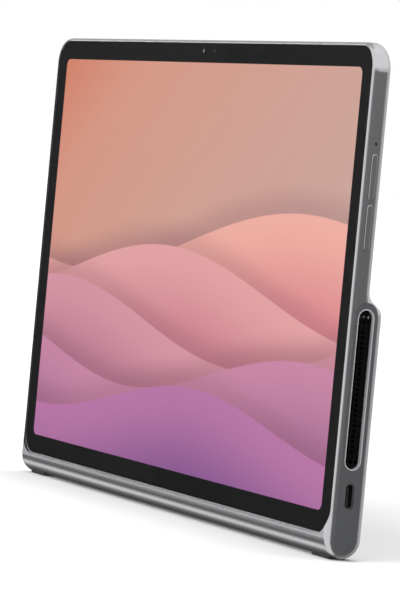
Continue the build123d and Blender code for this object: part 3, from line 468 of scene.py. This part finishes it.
def rear_lens():
    """What shows through the rear window: a stepped black barrel with a bright ring, and the coated lens."""
    low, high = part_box("rear_camera_glass")
    x, z = (low.x + high.x) / 2, (low.z + high.z) / 2
    gap = 0.02 * MM
    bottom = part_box("rear_camera_module")[1].y + gap
    depth = low.y - gap - bottom

    def at(radius, share):
        """A profile point: a radius in mm, and a share of the depth."""
        return radius * MM, bottom + depth * share

    steps = [(4.05, 1.0), (3.5, 1.0), (3.45, 0.7), (3.05, 0.7), (3.0, 0.4), (2.6, 0.4), (2.55, 0.15),
             (2.05, 0.15)]
    barrel = [at(0, 0), at(4.05, 0), *(at(*step) for step in steps), at(0, 0.12)]
    lathe("rear_lens_barrel", x, z, barrel, "tablet", "black_plastic")
    ring = [at(3.9, 1.02), at(3.75, 1.1), at(3.6, 1.02)]
    lathe("rear_lens_ring", x, z, [*ring, ring[0]], "tablet", "trim_metal")
    # the violet given here is the colour of the painted sheen on the lens
    lens_eye("rear_lens_eye", x, z, 1.95 * MM, bottom + depth * 0.16, bottom + depth, srgb(70, 50, 120))


def flash_window():
    """The flash cover with its fine moulded rings."""
    low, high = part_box("flash_lens")
    x, z, radius = (low.x + high.x) / 2, (low.z + high.z) / 2, (high.x - low.x) / 2
    grooves, depth, chamfer, margin = 7, 0.06 * MM, 0.1 * MM, 0.15 * MM
    profile = [(0, low.y), (radius, low.y), (radius, high.y - chamfer), (radius - chamfer, high.y)]
    pitch = (radius - margin) / grooves
    for i in range(grooves, 0, -1):
        profile += [(i * pitch, high.y), ((i - 0.35) * pitch, high.y - depth)]
    piece = lathe("flash_cover", x, z, [*profile, (0, high.y)], "tablet", "flash_lens")
    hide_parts("flash_lens")


def usb_contacts():
    """Two rows of twelve plated contacts on the tongue of the USB socket."""
    low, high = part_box("usb_tongue")
    count, pitch, setback = 12, 0.5 * MM, 0.25 * MM
    width, thick, reach = 0.24 * MM, 0.02 * MM, 3.4 * MM
    middle = (low.z + high.z) / 2
    shape = bmesh.new()
    for i in range(count):
        z = middle + (i - (count - 1) / 2) * pitch
        for y in (low.y - thick / 2, high.y + thick / 2):
            cube = bmesh.ops.create_cube(shape, size=1)["verts"]
            bmesh.ops.scale(shape, vec=(reach, thick, width), verts=cube)
            bmesh.ops.translate(shape, vec=(high.x - setback - reach / 2, y, z), verts=cube)
    bmesh.ops.bevel(shape, geom=shape.edges, offset=0.004 * MM, segments=1, affect="EDGES")
    mesh = bpy.data.meshes.new("usb_contacts")
    shape.to_mesh(mesh)
    shape.free()
    add_piece("usb_contacts", mesh, "tablet", "steel")
    mesh.materials[0] = metal("gold_plate", srgb(232, 196, 120), 0.25, 0.1)


# ---------------------------------------------------------------- floor, light and camera
FLOOR_REACH = 60.0
FLOOR_WHITE = 0.92


def floor():
    """A plain pale floor, far wider than any view of the object."""
    mesh = bpy.data.meshes.new("floor")
    reach = FLOOR_REACH
    mesh.from_pydata([(-reach, -reach, 0), (reach, -reach, 0), (reach, reach, 0), (-reach, reach, 0)], [],
                     [(0, 1, 2, 3)])
    plane = bpy.data.objects.new("floor", mesh)
    bpy.context.scene.collection.objects.link(plane)
    material, n = new_material("pale_floor")
    shader = n.add("ShaderNodeBsdfDiffuse")
    shader.inputs[0].default_value = (FLOOR_WHITE, FLOOR_WHITE, FLOOR_WHITE, 1)
    n.surface(shader.outputs[0])
    mesh.materials.append(material)
    plane.visible_glossy = False


AMBIENT = 0.46  # even light from the white studio
SIDE_LEVEL = 0.15  # what the right-hand edge mirrors
# The studio that mirrors see, in degrees: (low, high, soft) is a window, and (dark, bright) is a slope
FRONT_CARD, FRONT_LEVEL = (-42, 38, 16), 0.95
BEHIND_RIGHT, BEHIND_LEFT = (128, 168), (-112, -126)
BEHIND_LEVEL, BEHIND_RISE, BEHIND_LOWEST = 0.62, 0.007, -45  # brighter with height, from the lowest height up
CEILING_UP, CEILING_LEFT, CEILING_LOSS = (4, 14), (-55, -80), 0.5  # dimmer by the loss to the left
STRIPS_RIGHT, STRIPS_LEFT, STRIPS_UP = (-44, -56), (-124, -112), (8, 3)
WALL_ACROSS, WALL_UP = (-67.5, -59.5, 1.5), (-5.6, 3.2, 1.2)
WALL_LEVEL, WALL_MIDDLE = 0.112, -66.6
WALL_RISE_ACROSS, WALL_RISE_UP = 0.024, 0.0095  # lighter by so much a degree
WALL_EDGE, WALL_EDGE_SOFT, WALL_EDGE_LEAN, WALL_EDGE_RISE = -64.3, 0.15, -0.076, 0.04
# What the chin bar mirrors: the brightness at each turn about the X axis, in degrees from the front
BANDS = [(0, 4.5), (5, 3.6), (10, 1.0), (16, 0.5), (24, 0.24), (32, 0.08), (40, 0.1), (50, 0.5), (61, 1.0),
         (68, 0.95), (82, 0.25), (100, 0.12), (130, 0.06), (180, 0.02)]


def window(n, value, low, high, soft):
    """1 between low and high, fading to 0 over soft outside them."""
    return n.math("MULTIPLY", n.step(value, low - soft, low), n.step(value, high + soft, high))


def curve_of(n, value, stops, span):
    """Numbers read off a smooth curve through the stops, [(place, number), ...], with places from 0 to
    span."""
    node = n.add("ShaderNodeFloatCurve")
    curve = node.mapping.curves[0]
    while len(curve.points) < len(stops):
        curve.points.new(1, 0)
    for point, (place, number) in zip(curve.points, stops):
        point.location = (place / span, number)
    node.mapping.update()
    n.feed(node.inputs["Value"], n.math("DIVIDE", value, span))
    return node.outputs[0]


def laid_over(n, level, share, other):
    """The level, with another in its place by the given share."""
    kept = n.math("MULTIPLY", level, n.math("SUBTRACT", 1, share))
    return n.math("ADD", kept, n.math("MULTIPLY", other, share))


def soft_boxes(n, heading, height):
    """A broad card in front, a dimmer one behind, and a ceiling that is dimmer to the left."""
    loss = n.math("MULTIPLY", n.step(heading, *CEILING_LEFT), CEILING_LOSS)
    overhead = n.math("MULTIPLY", n.step(height, *CEILING_UP), n.math("SUBTRACT", 1, loss))
    front = n.math("MULTIPLY", window(n, heading, *FRONT_CARD), FRONT_LEVEL)
    rise = n.math("MULTIPLY", n.math("MAXIMUM", height, BEHIND_LOWEST), BEHIND_RISE)
    at_back = n.math("MAXIMUM", n.step(heading, *BEHIND_RIGHT), n.step(heading, *BEHIND_LEFT))
    behind = n.math("MULTIPLY", at_back, n.math("ADD", BEHIND_LEVEL, rise))
    return n.math("MAXIMUM", n.math("MAXIMUM", SIDE_LEVEL, behind), n.math("MAXIMUM", overhead, front))


def dark_wall(n, heading, height):
    """The brightness of the wall that the screen mirrors. It is a little lighter to the right and above, and
    has one soft edge across it."""
    across = n.math("MULTIPLY", n.math("SUBTRACT", heading, WALL_MIDDLE), WALL_RISE_ACROSS)
    shade = n.math("ADD", WALL_LEVEL, n.math("ADD", across, n.math("MULTIPLY", height, WALL_RISE_UP)))
    edge = n.math("ADD", heading, n.math("MULTIPLY", height, WALL_EDGE_LEAN))
    lighter = n.step(edge, WALL_EDGE, WALL_EDGE - WALL_EDGE_SOFT)
    return n.math("ADD", shade, n.math("MULTIPLY", lighter, WALL_EDGE_RISE))


def studio_world():
    """A white studio for the eye and for soft light. Mirrors see soft boxes, strips and a dark wall instead,
    placed in degrees by height and by heading, which is 0 in front and 90 to the right."""
    world = bpy.data.worlds.new("studio")
    bpy.context.scene.world = world
    world.use_nodes = True
    n = Nodes(world.node_tree)
    x, y, z = n.axes(n.add("ShaderNodeTexCoord").outputs["Generated"])
    to_degrees = 180 / math.pi
    forward, down = n.math("MULTIPLY", y, -1), n.math("MULTIPLY", z, -1)
    heading = n.math("MULTIPLY", n.math("ARCTAN2", x, forward), to_degrees)
    height = n.math("MULTIPLY", n.math("ARCSINE", z), to_degrees)
    roll = n.math("MULTIPLY", n.math("ARCTAN2", down, forward), to_degrees)

    # the strips lie to the left and low, where the chin bar mirrors them as bands along its length
    bands = curve_of(n, n.math("ABSOLUTE", roll), BANDS, 180)
    to_left = n.math("MULTIPLY", n.step(heading, *STRIPS_RIGHT), n.step(heading, *STRIPS_LEFT))
    in_strips = n.math("MULTIPLY", to_left, n.step(height, *STRIPS_UP))
    level = laid_over(n, soft_boxes(n, heading, height), in_strips, bands)
    in_wall = n.math("MULTIPLY", window(n, heading, *WALL_ACROSS), window(n, height, *WALL_UP))
    level = laid_over(n, level, in_wall, dark_wall(n, heading, height))

    def white_light(strength):
        node = n.add("ShaderNodeBackground")
        node.inputs["Color"].default_value = (1, 1, 1, 1)
        n.feed(node.inputs["Strength"], strength)
        return node.outputs[0]

    def either(share, first, second):
        """The first light, or the second where share is 1."""
        node = n.add("ShaderNodeMixShader")
        for socket, value in zip(node.inputs, (share, first, second)):
            n.feed(socket, value)
        return node.outputs[0]

    path = n.add("ShaderNodeLightPath")
    soft = either(path.outputs["Is Diffuse Ray"], white_light(level), white_light(AMBIENT))
    seen = either(path.outputs["Is Camera Ray"], soft, white_light(1.0))
    n.tree.links.new(seen, n.add("ShaderNodeOutputWorld").inputs[0])


def soft_sun(name, direction, power, width):
    """A very soft light from far away, shining in the given direction."""
    light = bpy.data.lights.new(name, "SUN")
    light.energy = power
    light.angle = math.radians(width)
    holder = bpy.data.objects.new(name, light)
    bpy.context.scene.collection.objects.link(holder)
    holder.rotation_euler = Vector(direction).to_track_quat("-Z", "Y").to_euler()
    holder.visible_glossy = False


CAMERA_PLACE = Vector((1.1998, -0.5763, 0.1240))
CAMERA_YAW, CAMERA_PITCH, CAMERA_ROLL = 64.256, 1.933, -5.337  # degrees
CAMERA_LENS, SENSOR = 216.5, 36.0  # mm
CAMERA_FAR = 200.0


def camera():
    """A long lens at the height of the screen, well to the right of it, with the head rolled a little."""
    data = bpy.data.cameras.new("camera")
    data.sensor_fit = "VERTICAL"
    data.sensor_height = SENSOR
    data.lens = CAMERA_LENS
    data.clip_end = CAMERA_FAR
    holder = bpy.data.objects.new("camera", data)
    bpy.context.scene.collection.objects.link(holder)
    turn = Matrix.Rotation(math.radians(CAMERA_YAW), 4, "Z")
    tilt = Matrix.Rotation(math.radians(90 - CAMERA_PITCH), 4, "X")
    roll = Matrix.Rotation(math.radians(-CAMERA_ROLL), 4, "Z")
    holder.matrix_world = Matrix.Translation(CAMERA_PLACE) @ turn @ tilt @ roll
    bpy.context.scene.camera = holder


# ---------------------------------------------------------------- build
dress_cad_nodes()
printed_border()
front_lens()
rear_lens()
flash_window()
usb_contacts()
floor()
studio_world()
soft_sun("top_light", (0.05, -0.15, -1.0), 1.4, 32)
soft_sun("front_light", (-0.05, 0.9, -0.9), 1.7, 54)
camera()
bpy.context.scene.view_settings.view_transform = "Standard"
